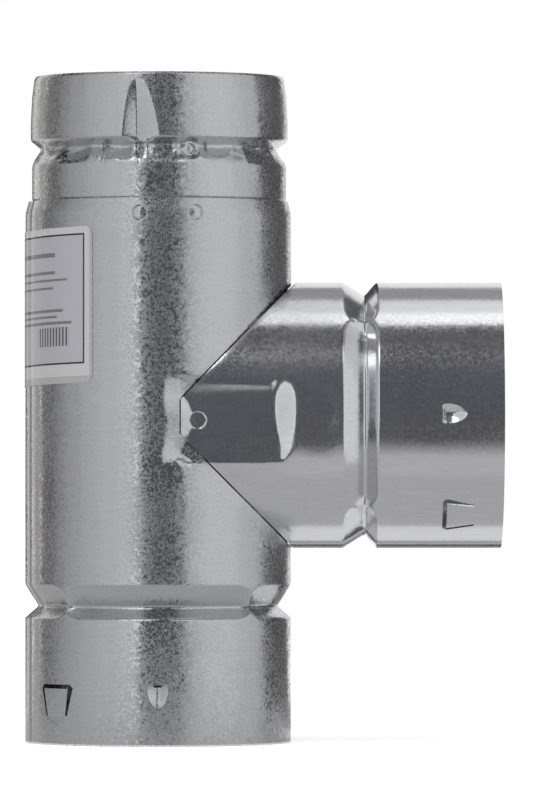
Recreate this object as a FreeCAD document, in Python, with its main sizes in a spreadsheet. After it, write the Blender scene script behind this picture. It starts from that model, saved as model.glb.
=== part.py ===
import FreeCAD, Part
import math
import os
import re
import Sketcher

# A double-wall vent tee, in millimetres.
# The run stands along +Z on its lower rim and the branch points along +X.
# The origin is on the run's axis, in the plane of the lower rim. The front is -Y.
# Turns are degrees round an axis from the front, positive towards +X on the run
# and towards +Z on the branch.

SIZES = {
    # sheets
    "steel": 0.46,
    "foil": 0.3,
    "slip": 0.1,
    # flue inside the liners, and the air space between liners and outer shells
    "flue_rad": 38.1,
    "air_gap": 5.59,
    # run and branch
    "run_top": 181.8,
    "crimp_drop": 4.0,
    "crimp_in": 1.04,
    "crimp_play": 1.3,
    "branch_axis": 110.3,
    "branch_reach": 115.0,
    # stop groove round each open end, from the rim
    "groove_mid": 46.1,
    "groove_fall": 4.7,
    "groove_climb": 7.2,
    "groove_play": 1.29,
    "groove_flat": 1.8,
    # mitre between run and branch
    "mitre_tip": 7.2,
    "mitre_gap": 0.3,
    "lap": 4.0,
    # pressed flats on both sides of the mitre
    "flat_deep": 2.4,
    "flat_start": 1.7,
    "flat_ramp": 7.5,
    "flat_end": 45.6,
    "flat_end_ramp": 6.7,
    "flat_half": 14.5,
    "flat_side": 2.0,
    # folded seam along each shell
    "seam_rise": 0.45,
    "seam_wide": 15.0,
    "seam_turn": -85.0,
    # lock tabs, from the rim
    "tab_root": 9.8,
    "tab_long": 10.0,
    "tab_root_wide": 10.8,
    "tab_free_wide": 16.0,
    "tab_side_slit": 0.6,
    "tab_end_slit": 1.3,
    "tab_bend": 5.0,
    "tab_step": 0.1,
    "tab_turn": -50.0,
    # pressed barbs, from the rim
    "barb_tip": 12.4,
    "barb_long": 7.6,
    "barb_wide": 7.0,
    "barb_deep": 2.2,
    "barb_turn": 0.0,
    # round clinches
    "clinch_rad": 2.7,
    "clinch_deep": 1.0,
    "clinch_drop": 3.7,
    "clinch_left": -9.6,
    "clinch_right": 16.0,
    "side_clinch_out": 13.4,
    "side_clinch_drop": 2.1,
    "neck_clinch_rad": 1.95,
    "neck_clinch_play": 0.14,
    "neck_clinch_turn": 15.5,
    # top collar, heights from the run's top edge
    "collar_sink": 13.8,
    "collar_rise": 42.0,
    "neck_low": 16.6,
    "neck_high": 18.1,
    "neck_play": 0.84,
    "flare_low": 12.6,
    "ledge_rise": 20.4,
    "ledge_in": 1.15,
    "land_long": 7.0,
    "lip_bend": 8.0,
    "lip_mid_in": 0.45,
    "lip_in": 1.4,
    # flattened facet on the collar
    "facet_turn": -7.7,
    "facet_wide": 12.1,
    "facet_tilt": 2.9,
    # liners
    "liner_below_lip": 2.5,
    "liner_recess": 25.0,
    "liner_neck_in": 0.6,
    "liner_neck_long": 14.0,
    "liner_neck_taper": 3.0,
    # paper label
    "paper": 0.15,
    "label_low": 119.7,
    "label_tall": 52.0,
    "label_turn": -96.0,
    "label_wide": 101.6,
}

# Sizes that follow from the ones above
DERIVED = {
    "liner_rad": "flue_rad + foil",
    "shell_rad": "liner_rad + air_gap + steel",
    "groove_rad": "liner_rad + groove_play + steel",
    "groove_low": "groove_mid - groove_fall",
    "groove_high": "groove_mid + groove_climb",
    "neck_rad": "liner_rad + neck_play + steel",
    "mouth_rad": "shell_rad - crimp_in",
    "collar_rad": "mouth_rad - steel - slip",
    "ledge_rad": "shell_rad - ledge_in",
    "liner_neck_rad": "flue_rad - liner_neck_in",
    "seam_span": "seam_wide / shell_rad * 180 / pi",
    "label_span": "label_wide / shell_rad * 180 / pi",
}

RUN_FRAME = "placement(vector(0; 0; 0); rotation(0; 0; 0))"
BRANCH_FRAME = "placement(vector(branch_reach; 0; branch_axis); rotation(0; -90; 0))"
# How far a cutting tool runs past what it cuts
PAST = 1.0
# Where a sketch's corners stand before their formulas place them
START_MIDDLE = 60.0
START_SPREAD = 40.0


def size_sheet(doc):
    sheet = doc.addObject("Spreadsheet::Sheet", "dims")
    for row, (alias, value) in enumerate(SIZES.items(), 1):
        sheet.set(f"A{row}", alias)
        sheet.set(f"B{row}", str(value))
        sheet.setAlias(f"B{row}", alias)
    doc.recompute()
    return sheet


# Small helpers: a formula in full, a bound feature, the booleans and a turned solid

def spelt(words):
    """The formula with each size's name written as its cell, and each derived size in full."""
    def full(match):
        name = match.group(0)
        if name in DERIVED:
            return f"({spelt(DERIVED[name])})"
        return f"dims.{name}" if name in SIZES else name
    return re.sub(r"[a-z_]+", full, words)


def bound(doc, kind, name, frame=None, **formulas):
    item = doc.addObject(kind, name)
    for prop, formula in formulas.items():
        item.setExpression(prop, spelt(formula))
    if frame:
        item.setExpression("Placement", spelt(frame))
    return item


def fuse(doc, name, *pieces):
    item = doc.addObject("Part::MultiFuse", name)
    item.Shapes = list(pieces)
    return item


def common(doc, name, *pieces):
    item = doc.addObject("Part::MultiCommon", name)
    item.Shapes = list(pieces)
    return item


def cut(doc, name, base, *tools):
    item = doc.addObject("Part::Cut", name)
    item.Base = base
    item.Tool = tools[0] if len(tools) == 1 else fuse(doc, name + "_tools", *tools)
    return item


def turned_about(turn):
    return f"placement(vector(0; 0; 0); rotation(vector(0; 0; 1); {turn}))"


def turned(doc, name, outline, frame=RUN_FRAME, span=None, turn="0"):
    """A solid turned round the Z axis of its frame, from (radius, height) formulas."""
    body = doc.addObject("PartDesign::Body", name)
    sketch = body.newObject("Sketcher::SketchObject", name + "_outline")
    plane = [item for item in body.Origin.OriginFeatures if item.Role == "XZ_Plane"][0]
    sketch.AttachmentSupport = [(plane, "")]
    sketch.MapMode = "FlatFace"
    count = len(outline)
    spread = [math.tau * i / count for i in range(count)]
    corners = [FreeCAD.Vector(START_MIDDLE + START_SPREAD * math.cos(a),
                              START_MIDDLE + START_SPREAD * math.sin(a), 0) for a in spread]
    for i in range(count):
        sketch.addGeometry(Part.LineSegment(corners[i], corners[(i + 1) % count]), False)
    for i in range(count):
        sketch.addConstraint(Sketcher.Constraint("Coincident", (i - 1) % count, 2, i, 1))
    for i, (radius, height) in enumerate(outline):
        across = sketch.addConstraint(Sketcher.Constraint("DistanceX", -1, 1, i, 1, corners[i].x))
        sketch.setExpression(f"Constraints[{across}]", spelt(radius))
        up = sketch.addConstraint(Sketcher.Constraint("DistanceY", -1, 1, i, 1, corners[i].y))
        sketch.setExpression(f"Constraints[{up}]", spelt(height))
    wheel = body.newObject("PartDesign::Revolution", name + "_turn")
    wheel.Profile = sketch
    wheel.ReferenceAxis = (sketch, ["V_Axis"])
    wheel.Angle = 360
    if span:
        wheel.Midplane = True
        wheel.setExpression("Angle", spelt(span))
        frame = f"{frame} * {turned_about(f'{turn} - 90')}"
    body.setExpression("Placement", spelt(frame))
    return body


def solid_of(outline, low, high):
    """Close an outline of (radius, height) on the axis between two heights."""
    return [("0", low), (outline[0][0], low)] + outline[1:-1] + [(outline[-1][0], high), ("0", high)]


# Outlines of the outer shells, the collar and the liners, at a depth below the outer skin

def shell_outline(depth, top, crimped):
    skin = f"shell_rad - ({depth})"
    valley = f"groove_rad - ({depth})"
    outline = [
        (skin, "0"),
        (skin, "groove_low"),
        (valley, "groove_mid - groove_flat / 2"),
        (valley, "groove_mid + groove_flat / 2"),
        (skin, "groove_high"),
    ]
    if crimped:
        outline.append((skin, f"{top} - crimp_drop"))
        outline.append((f"mouth_rad - ({depth})", top))
    else:
        outline.append((skin, top))
    return outline


def collar_outline(depth):
    base = "run_top"
    tucked = f"shell_rad - steel - slip - ({depth})"
    band = f"collar_rad - ({depth})"
    neck = f"neck_rad - ({depth})"
    land = f"ledge_rad - ({depth})"
    ledge = f"{base} + ledge_rise"
    return [
        (tucked, f"{base} - collar_sink"),
        (tucked, f"{base} - crimp_drop - crimp_play"),
        (band, f"{base} - crimp_play"),
        (band, f"{base} + flare_low"),
        (neck, f"{base} + neck_low"),
        (neck, f"{base} + neck_high + ({depth}) / 2"),
        (land, f"{ledge} + ({depth}) / 2"),
        (land, f"{ledge} + land_long"),
        (f"{land} - lip_mid_in", f"{ledge} + land_long + lip_bend"),
        (f"{land} - lip_in", f"{base} + collar_rise"),
    ]


def liner_outline(depth, top):
    wall = f"liner_rad - ({depth})"
    neck = f"liner_neck_rad - ({depth})"
    step = "liner_recess + liner_neck_long"
    return [
        (neck, "liner_recess"),
        (neck, step),
        (wall, f"{step} + liner_neck_taper"),
        (wall, top),
    ]


# Cutting tools that run and branch share, each moved inwards by a depth

def mitre(doc, name, shift):
    """The wedge between the two 45 degree planes, with its tip cut off."""
    return bound(
        doc, "Part::Wedge", name,
        f"placement(vector({shift}; 0; branch_axis); rotation(vector(1; 1; 1); -120))",
        Xmin="-mitre_tip", Xmax="mitre_tip",
        Ymin="mitre_tip", Ymax="mitre_tip + branch_reach",
        Zmin="-2 * shell_rad", Zmax="2 * shell_rad",
        X2min="-mitre_tip - branch_reach", X2max="mitre_tip + branch_reach",
        Z2min="-2 * shell_rad", Z2max="2 * shell_rad")


def pressed_flats(doc, name, depth):
    """Dies that flatten the front and the back of the tee across the mitre."""
    slope = f"{PAST} / flat_deep"
    dies = []
    for side, roll in (("front", 0), ("back", 180)):
        frame = (f"placement(vector(0; 0; branch_axis); rotation(0; 0; {roll}))"
                 f" * placement(vector(0; {depth}; 0); rotation(0; 0; 0))")
        dies.append(bound(
            doc, "Part::Wedge", f"{name}_{side}", frame,
            Ymin=f"-shell_rad - {PAST}", Ymax="flat_deep - shell_rad",
            Xmin=f"flat_start - flat_ramp * {slope}",
            Xmax=f"flat_end + flat_end_ramp * {slope}",
            X2min="flat_start + flat_ramp",
            X2max="flat_end - flat_end_ramp",
            Zmin=f"-flat_half - flat_side * (1 + {slope})",
            Zmax=f"flat_half + flat_side * (1 + {slope})",
            Z2min="-flat_half", Z2max="flat_half"))
    return dies


def barbs(doc, name, frame, depth):
    """Half cones pressed in at the front and the back, open at their wide end."""
    rise = "(barb_wide * barb_wide / 4 / barb_deep - barb_deep) / 2"
    lean = f"atan(({rise}) / barb_long)"
    dies = []
    for side, extra in (("front", 0), ("back", 180)):
        where = (f"{frame} * {turned_about(f'barb_turn + {extra}')}"
                 f" * placement(vector(0; {depth} - shell_rad; barb_tip);"
                 f" rotation(vector(1; 0; 0); {lean}))")
        dies.append(bound(
            doc, "Part::Cone", f"{name}_{side}", where,
            Radius1="0", Radius2=f"{rise} + barb_deep",
            Height=f"barb_long / cos({lean})"))
    return dies


def button(doc, name, turn, height, radius, floor):
    """A round die pressed in from outside, at a turn and a height, down to a floor radius."""
    where = (f"{turned_about(turn)} * placement(vector(0; -({floor}); {height});"
             " rotation(vector(1; 0; 0); 90))")
    return bound(doc, "Part::Cylinder", name, where, Radius=radius, Height="shell_rad / 4")


def joint_clinches(doc, name, depth):
    """Clinches through run and collar just under the run's top edge."""
    floor = f"shell_rad - clinch_deep - ({depth})"
    height = "run_top - clinch_drop"
    turns = {
        "left": "clinch_left",
        "right": "clinch_right",
        "back_left": "clinch_left + 180",
        "back_right": "clinch_right + 180",
    }
    return [button(doc, f"{name}_{spot}", turn, height, f"clinch_rad + {depth}", floor)
            for spot, turn in turns.items()]


def side_clinches(doc, name, depth):
    """Clinches in the pressed flats, near the tip of the mitre."""
    dies = []
    for side, roll in (("front", 0), ("back", 180)):
        where = (f"placement(vector(side_clinch_out; 0; branch_axis - side_clinch_drop);"
                 f" rotation(0; 0; {roll}))"
                 f" * placement(vector(0; flat_deep + clinch_deep + {depth} - shell_rad; 0);"
                 " rotation(vector(1; 0; 0); 90))")
        dies.append(bound(doc, "Part::Cylinder", f"{name}_{side}", where,
                          Radius=f"clinch_rad + {depth}", Height="shell_rad / 4"))
    return dies


# Female end: lock tabs cut free on three sides and bent in

def tab_wedge(doc, name, low, high, low_wide, high_wide, frame):
    return bound(
        doc, "Part::Wedge", name, f"{frame} * placement(vector(0; 0; 0); rotation(vector(1; 0; 0); 90))",
        Ymin=low, Ymax=high,
        Xmin=f"-({low_wide}) / 2", Xmax=f"({low_wide}) / 2",
        X2min=f"-({high_wide}) / 2", X2max=f"({high_wide}) / 2",
        Zmin="shell_rad * 0.9", Zmax="shell_rad * 1.1",
        Z2min="shell_rad * 0.9", Z2max="shell_rad * 1.1")


def with_lock_tabs(doc, name, shell, frame):
    root = "tab_root"
    bite = "steel"
    windows = []
    tabs = []
    for side, extra in (("front", 0), ("back", 180)):
        spot = f"{frame} * {turned_about(f'tab_turn + {extra}')}"
        windows.append(tab_wedge(doc, f"{name}_window_{side}", root, f"{root} + tab_long",
                                 "tab_root_wide", "tab_free_wide", spot))
        blank = turned(doc, f"{name}_blank_{side}", [
            ("shell_rad - steel", f"{root} - {bite}"),
            ("shell_rad", f"{root} - {bite}"),
            ("shell_rad", f"{root} + tab_long"),
            ("shell_rad - steel", f"{root} + tab_long"),
        ])
        outline = tab_wedge(doc, f"{name}_tab_outline_{side}", f"{root} - {bite}",
                            f"{root} + tab_long - tab_end_slit",
                            "tab_root_wide - 2 * tab_side_slit",
                            "tab_free_wide - 2 * tab_side_slit", RUN_FRAME)
        tab = common(doc, f"{name}_tab_{side}", blank, outline)
        tab.setExpression("Placement", spelt(
            f"{spot} * placement(vector(0; tab_step - shell_rad; {root});"
            " rotation(vector(1; 0; 0); -tab_bend))"
            f" * placement(vector(0; shell_rad; -{root}); rotation(0; 0; 0))"))
        tabs.append(tab)
    return fuse(doc, name, cut(doc, name + "_open", shell, *windows), *tabs)


# The folded seam stands proud of the shell

def seam(doc, name, outline, low, high, frame):
    return turned(doc, name, solid_of(outline, low, high), frame,
                  span="seam_span", turn="seam_turn")


def build_run(doc):
    top = "run_top"
    plain = turned(doc, "run_plain", solid_of(shell_outline("0", top, True), "0", top))
    fold = seam(doc, "run_seam", shell_outline("-seam_rise", top, True), "0", top, RUN_FRAME)
    skin = cut(doc, "run_skin", fuse(doc, "run_with_seam", plain, fold),
               *pressed_flats(doc, "run_flat", "0"),
               *barbs(doc, "run_barb", RUN_FRAME, "0"),
               *joint_clinches(doc, "run_clinch", "0"))
    hollow = cut(doc, "run_hollow",
                 turned(doc, "run_bore", solid_of(shell_outline("steel", top, True),
                                                  f"-{PAST}", f"{top} + {PAST}")),
                 *pressed_flats(doc, "run_inner_flat", "steel"),
                 *barbs(doc, "run_inner_barb", RUN_FRAME, "steel"),
                 *joint_clinches(doc, "run_inner_clinch", "steel"))
    sheet = cut(doc, "run_sheet", skin, hollow, mitre(doc, "run_opening", "0"))
    return with_lock_tabs(doc, "outer_body", sheet, RUN_FRAME)


def lap_flange(doc, name, outer, inner, web_outer, web_inner, wall, depth_out, depth_in, pressed):
    """The branch's edge: a web across the mitre and a strip that laps the run's wall."""
    keep = mitre(doc, name + "_keep", "mitre_gap")
    clear = mitre(doc, name + "_clear", f"mitre_gap + {wall}")
    reach = mitre(doc, name + "_reach", "mitre_gap - lap")
    across = {"Height": "2 * shell_rad"}
    middle = "placement(vector(0; 0; branch_axis); rotation(0; 90; 0))"
    upright = "placement(vector(0; 0; branch_axis - 1.5 * shell_rad); rotation(0; 0; 0))"
    tall = {"Height": "3 * shell_rad"}
    rounds = {
        "web_out": bound(doc, "Part::Cylinder", name + "_web_out", middle, Radius=web_outer, **across),
        "web_in": bound(doc, "Part::Cylinder", name + "_web_in", middle, Radius=web_inner, **across),
        "strip_out": bound(doc, "Part::Cylinder", name + "_strip_out", upright, Radius=outer, **tall),
        "strip_in": bound(doc, "Part::Cylinder", name + "_strip_in", upright, Radius=inner, **tall),
    }
    if pressed:
        depths = {"web_out": "0", "web_in": depth_in, "strip_out": depth_out, "strip_in": depth_in}
        for key, depth in depths.items():
            dies = pressed_flats(doc, f"{name}_{key}_flat", depth)
            rounds[key] = cut(doc, f"{name}_{key}_pressed", rounds[key], *dies)
    web = cut(doc, name + "_web_ring", rounds["web_out"], rounds["web_in"])
    strip = cut(doc, name + "_strip_ring", rounds["strip_out"], rounds["strip_in"])
    edge = cut(doc, name + "_web", common(doc, name + "_web_kept", web, keep), clear)
    lapped = cut(doc, name + "_strip", common(doc, name + "_strip_kept", strip, reach), clear)
    return [edge, lapped]


def build_branch(doc):
    end = "branch_reach"
    plain = turned(doc, "branch_plain", solid_of(shell_outline("0", end, False), "0", end), BRANCH_FRAME)
    fold = seam(doc, "branch_seam", shell_outline("-seam_rise", end, False), "0", end, BRANCH_FRAME)
    skin = cut(doc, "branch_skin", fuse(doc, "branch_with_seam", plain, fold),
               *pressed_flats(doc, "branch_flat", "0"),
               *barbs(doc, "branch_barb", BRANCH_FRAME, "0"),
               *side_clinches(doc, "branch_clinch", "0"))
    hollow = cut(doc, "branch_hollow",
                 turned(doc, "branch_bore", solid_of(shell_outline("steel", end, False),
                                                     f"-{PAST}", f"{end} + {PAST}"), BRANCH_FRAME),
                 *pressed_flats(doc, "branch_inner_flat", "steel"),
                 *barbs(doc, "branch_inner_barb", BRANCH_FRAME, "steel"),
                 *side_clinches(doc, "branch_inner_clinch", "steel"))
    sheet = common(doc, "branch_sheet", cut(doc, "branch_wall", skin, hollow),
                   mitre(doc, "branch_mitre", "mitre_gap"))
    under = "steel + slip"
    inner = "shell_rad - slip - 2 * steel"
    flange = lap_flange(doc, "boot_edge", f"shell_rad - ({under})", inner, "shell_rad", inner,
                        "steel", under, f"{under} + steel", True)
    return with_lock_tabs(doc, "branch_boot", fuse(doc, "branch_joined", sheet, *flange), BRANCH_FRAME)


def build_collar(doc):
    low = "run_top - collar_sink"
    high = "run_top + collar_rise"
    under = "steel + slip"
    facet_out = "sqrt(ledge_rad * ledge_rad - facet_wide * facet_wide / 4)"
    neck_height = "run_top + (neck_low + neck_high) / 2"

    def dies(name, depth):
        facet = bound(
            doc, "Part::Box", name + "_facet",
            f"{turned_about('facet_turn')} * placement(vector(0; {depth} - {facet_out};"
            " run_top + ledge_rise + land_long / 2);"
            " rotation(vector(1; 0; 0); -facet_tilt))"
            " * placement(vector(-facet_wide; -facet_wide; -land_long);"
            " rotation(0; 0; 0))",
            Length="2 * facet_wide", Width="facet_wide",
            Height="collar_rise")
        neck = button(doc, name + "_neck_clinch", "neck_clinch_turn", neck_height,
                      f"neck_clinch_rad + {depth}",
                      f"liner_rad + neck_clinch_play + steel - ({depth})")
        clinches = joint_clinches(doc, name + "_clinch", f"{under} + {depth}")
        return [facet, neck] + clinches

    skin = cut(doc, "collar_skin",
               turned(doc, "collar_plain", solid_of(collar_outline("0"), low, high)),
               *dies("collar", "0"))
    hollow = cut(doc, "collar_hollow",
                 turned(doc, "collar_bore", solid_of(collar_outline("steel"),
                                                     f"{low} - {PAST}", f"{high} + {PAST}")),
                 *dies("collar_inner", "steel"))
    return cut(doc, "top_collar", skin, hollow)


def build_liners(doc):
    top = "run_top + collar_rise - liner_below_lip"
    low = "liner_recess"
    wall = turned(doc, "liner_plain", solid_of(liner_outline("0", top), low, top))
    bore = turned(doc, "liner_bore", solid_of(liner_outline("foil", top),
                                              f"{low} - {PAST}", f"{top} + {PAST}"))
    run = cut(doc, "liner_body", wall, bore, mitre(doc, "liner_opening", "0"))
    end = "branch_reach"
    arm = turned(doc, "arm_plain", solid_of(liner_outline("0", end), low, end), BRANCH_FRAME)
    arm_bore = turned(doc, "arm_bore", solid_of(liner_outline("foil", end),
                                                f"{low} - {PAST}", f"{end} + {PAST}"), BRANCH_FRAME)
    tube = common(doc, "arm_tube", cut(doc, "arm_wall", arm, arm_bore),
                  mitre(doc, "arm_mitre", "mitre_gap"))
    outside = "liner_rad + slip"
    flange = lap_flange(doc, "arm_edge", f"{outside} + foil", outside,
                        f"{outside} + foil", "flue_rad", "foil", "0", "0", False)
    return [run, fuse(doc, "liner_branch", tube, *flange)]


def build_label(doc):
    """Paper round the left of the run, over the folded seam."""
    low = "label_low"
    high = "label_low + label_tall"

    def sector(name, radius, span, turn, past):
        outline = [("0", f"{low} - {past}"), (radius, f"{low} - {past}"),
                   (radius, f"{high} + {past}"), ("0", f"{high} + {past}")]
        return turned(doc, name, outline, RUN_FRAME, span, turn)

    sheet = sector("label_sheet", "shell_rad + paper", "label_span", "label_turn", 0)
    bump = sector("label_bump", "shell_rad + seam_rise + paper",
                  "seam_span + 2 * paper / shell_rad * 180 / pi", "seam_turn", 0)
    whole = bound(doc, "Part::Cylinder", "label_core", RUN_FRAME,
                  Radius="shell_rad", Height=f"{high} + {PAST}")
    fold = sector("label_fold", "shell_rad + seam_rise", "seam_span", "seam_turn", PAST)
    return cut(doc, "label", fuse(doc, "label_outside", sheet, bump), whole, fold)


def check(doc, nodes):
    for item in doc.Objects:
        if "Invalid" in item.State or "Error" in item.State:
            raise RuntimeError(f"{item.Name} is {item.State}")
    for node in nodes:
        if node.Shape.isNull() or not node.Shape.isValid():
            raise RuntimeError(f"{node.Label} has no valid shape")
        if len(node.Shape.Solids) != 1:
            raise RuntimeError(f"{node.Label} has {len(node.Shape.Solids)} solids")


def main():
    doc = FreeCAD.newDocument("vent_tee")
    size_sheet(doc)
    nodes = [build_run(doc), build_branch(doc), build_collar(doc), *build_liners(doc), build_label(doc)]
    doc.recompute()
    for node in nodes:
        node.Label = node.Name
    check(doc, nodes)
    os.makedirs("parts", exist_ok=True)
    for node in nodes:
        node.Shape.exportStep(f"parts/{node.Label}.step")
        print(node.Label, round(node.Shape.Volume, 1), node.Shape.BoundBox)


main()
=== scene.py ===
import math
import bmesh
import bpy
from mathutils import Matrix, Vector, noise


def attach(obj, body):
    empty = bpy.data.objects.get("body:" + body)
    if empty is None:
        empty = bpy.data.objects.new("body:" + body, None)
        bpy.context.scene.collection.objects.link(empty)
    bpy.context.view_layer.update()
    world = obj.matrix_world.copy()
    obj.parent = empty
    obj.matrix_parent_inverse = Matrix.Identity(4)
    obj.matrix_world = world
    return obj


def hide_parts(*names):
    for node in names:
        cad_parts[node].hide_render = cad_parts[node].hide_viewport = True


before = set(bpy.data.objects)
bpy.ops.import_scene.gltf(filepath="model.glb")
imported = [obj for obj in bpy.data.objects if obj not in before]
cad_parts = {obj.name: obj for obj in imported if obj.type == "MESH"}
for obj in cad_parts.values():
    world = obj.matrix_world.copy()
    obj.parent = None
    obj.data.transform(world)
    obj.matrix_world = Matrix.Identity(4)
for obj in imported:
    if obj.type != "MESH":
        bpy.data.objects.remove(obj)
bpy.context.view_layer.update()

# The tee's sheets are shaped in millimetres and turned to metres at the end.
# Along a sheet, "along" is the height above its open rim, and "turn" is the angle in degrees
# round its axis, 0 at the front and positive towards +X on the run and +Z on the branch.
MM = 0.001
STEPS = 320
SHARP = math.radians(50)

# Outer shells
STEEL = 0.46
SLIP = 0.1
SHELL_RAD = 44.45
RUN_TOP = 181.8
MOUTH_IN = 1.04
CRIMP_DROP = 4.0
CRIMP_SOFT = 0.8
BRANCH_AXIS = 110.3
BRANCH_REACH = 115.0

# Stop grooves, from the open rim
GROOVE_NEAR = (38, 57)
GROOVE_MID = 46.1
GROOVE_FALL = 4.1
GROOVE_CLIMB = 7.2
GROOVE_DEEP = 4.4
GROOVE_FLAT = 0.7
# The upper side bends at this distance from the middle, at this share of the depth
GROOVE_KINK = 4.1
GROOVE_KINK_SHARE = 0.41
GROOVE_SOFT = 0.42
# Turns at which the four segments meet, and how far round from there they are bent, in degrees
GROOVE_JOINTS = (-135, -45, 45, 135)
JOINT_REACH = 8
JOINT_RIDGE = 1.3
JOINT_SWELL = 4.5
JOINT_SWELL_REACH = 1.4
# How far each side of the groove closes in at a joint
JOINT_NARROW = 1.9

# Mitre between run and branch
MITRE_TIP = 7.2
# Where each slanting side starts, off the branch's axis, and how steep it is
MITRE_ABOVE = (5.1, 0.9675)
MITRE_BELOW = (7.0, 0.988)
MITRE_GAP = 0.5
LAP = 4.0
LAP_SUNK = 0.55
# The run's sheet stands up a little at the mitred edge, and the branch's is tucked in
EDGE_REACH = 1.2
EDGE_LIFT = 0.15
EDGE_TUCK = 0.2

# Flats pressed across the mitre: how deep, and where their ramps stand
FLAT_DEEP = 2.35
FLAT_VALLEY = 0.9
FLAT_SAG = 1.0
FLAT_RUN_START = 1.9
FLAT_RAMP_END = 11.8
FLAT_RAMP_BOW = 0.045
FLAT_END_START = 39.0
FLAT_END = 46.3
FLAT_TALL = 24
FLAT_SPAN = (-2, 52)
# Height of the upper edge, its fall along the flat, and its rise at the far end
FLAT_TOP = (11.4, 1.2, 1.9)
# Slope of the wall under that edge, and how much steeper it gets along the flat
FLAT_TOP_SLOPE = (0.262, 0.08)
FLAT_RUN_EDGE = 2.6
FLAT_RUN_TOP = 13.3
FLAT_RUN_SLOPE = 1.6
FLAT_FOOT = -19.5
FLAT_FOOT_SLOPE = 0.8
FLAT_RUN_FOOT = 2.6

# Hollow in the boot between the flat and the groove: where it rises and falls, and its half height
BOOT_HOLLOW = 0.6
HOLLOW_RISE = (42, 54)
HOLLOW_FALL = (55, 62)
HOLLOW_DROP = 4
HOLLOW_TALL = 9

# Lock tabs and barbs, from the open rim
TAB_TURNS = (-50, 130)
TAB_ROOT = 9.8
TAB_LONG = 10.5
TAB_ROOT_WIDE = 10.8
TAB_FREE_WIDE = 16.8
TAB_ROOT_SLIT = 0.8
TAB_SIDE_SLIT = 2.0
TAB_END_SLIT = 1.4
TAB_CORNER = 1.6
TAB_BEND = math.radians(-2.5)
BARB_TURNS = (0, 180)
BARB_TIP = 12.5
BARB_LONG = 7.8
BARB_HALF = 3.5
BARB_DEEP = 1.7
# Width and height
BARB_SLIT = (2.7, 0.7)

# Folded seams
SEAM_TURN = -85
SEAM_HALF = 7.5
SEAM_STEP = 0.45
SEAM_RISE = 0.6

# Clinches: (turn, height) on the run, (out, height) in the flats
CLINCH_RAD = 2.7
CLINCH_DEEP = 0.6
CLINCH_NEAR = 3.6
RIM_CLINCHES = ((-7.6, 176.9), (16.3, 177.1), (171.2, 176.9), (196.3, 177.1))
FLAT_CLINCH = (13.2, 108.2)
FLAT_CLINCH_RAD = 3.15
FLAT_CLINCH_DEEP = 0.45

# Collar: (height, radius)
COLLAR_SOFT = 0.3
COLLAR = (
    (168.0, 43.89), (176.5, 43.89), (180.5, 42.5), (182.2, 42.5), (182.6, 42.85), (193.6, 42.85),
    (194.9, 42.3), (198.8, 39.8), (199.7, 39.8), (202.2, 43.1), (202.7, 43.3), (209.2, 43.3),
    (217.2, 42.85), (222.8, 42.1), (223.3, 41.95), (223.8, 41.5),
)
# The long dent: heights, and how far right its crease and sides stand at the foot
DART = {"low": 202.6, "high": 221.6, "crease": -7.24, "left": -11.9, "right": 0.5, "deep": 2.35}
# Dents round the neck: turn, height, half width, half height, depth
NECK_DENTS = (
    (-41, 197.2, 4.5, 2.4, 0.9), (-18, 197.8, 3.6, 1.9, 0.8), (52, 197.2, 5.0, 2.4, 0.8),
    (-8.2, 198.0, 0.7, 2.6, 0.9), (-5.2, 198.4, 2.0, 2.4, -0.9), (-11.3, 198.6, 1.6, 2.4, -0.7),
    (-26.8, 198.2, 0.45, 3.6, 0.6), (-24.9, 198.4, 0.45, 3.6, 0.55), (-33, 197.6, 2.0, 2.6, -0.5),
    (8.6, 199.4, 0.9, 2.0, -0.6), (22.5, 199.0, 1.0, 2.6, 0.5), (30, 197.4, 3.2, 1.4, 0.35),
    (37, 198.6, 1.6, 1.6, -0.35), (44, 196.4, 1.2, 2.0, -0.4), (-15, 195.2, 2.2, 0.8, 0.25),
    (66, 197.6, 2.0, 2.4, -0.5), (78, 197.6, 5.0, 2.0, 0.6), (-62, 197.4, 4.0, 2.0, 0.7),
    (95, 197.6, 3.0, 2.4, 0.7), (120, 197.0, 6.0, 2.2, 0.8), (142, 198.0, 2.0, 2.4, -0.6),
    (165, 197.6, 5.0, 2.0, 0.7), (-86, 197.4, 2.0, 2.2, -0.5), (-104, 197.6, 5.0, 2.2, 0.8),
    (-130, 197.2, 6.0, 2.0, 0.8), (-152, 198.0, 1.6, 2.4, -0.6), (-168, 197.8, 4.0, 2.0, 0.6),
)
NECK_CLINCH = (15.5, 198.3)
NECK_CLINCH_RAD = 1.75
NECK_CLINCH_DEEP = 0.45
NECK_PAD = 3.0
NECK_PAD_RAD = 40.1

# Studio
WHITE = (1, 1, 1)
WARM = (1, 0.96, 0.84)
COOL = (0.94, 0.98, 1.1)
FRONT_DARK = 0.11
CAMERA_AT = (27.3, -2500, 93.3)
CAMERA_AIM = (38.2, 0, 115.2)
CAMERA_LENS = 334
LAMP_AT = (0.1, -0.5, 1.5)
LAMP_FACING = (0, -0.5, 1.39)

# Label
PAPER = 0.15
LABEL_LOW = 118.7
LABEL_HIGH = 171.7
LABEL_TURN = -95.3
LABEL_WIDE = 102.6
LABEL_TILT = 0.03
LABEL_CORNER = 3.0

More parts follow.
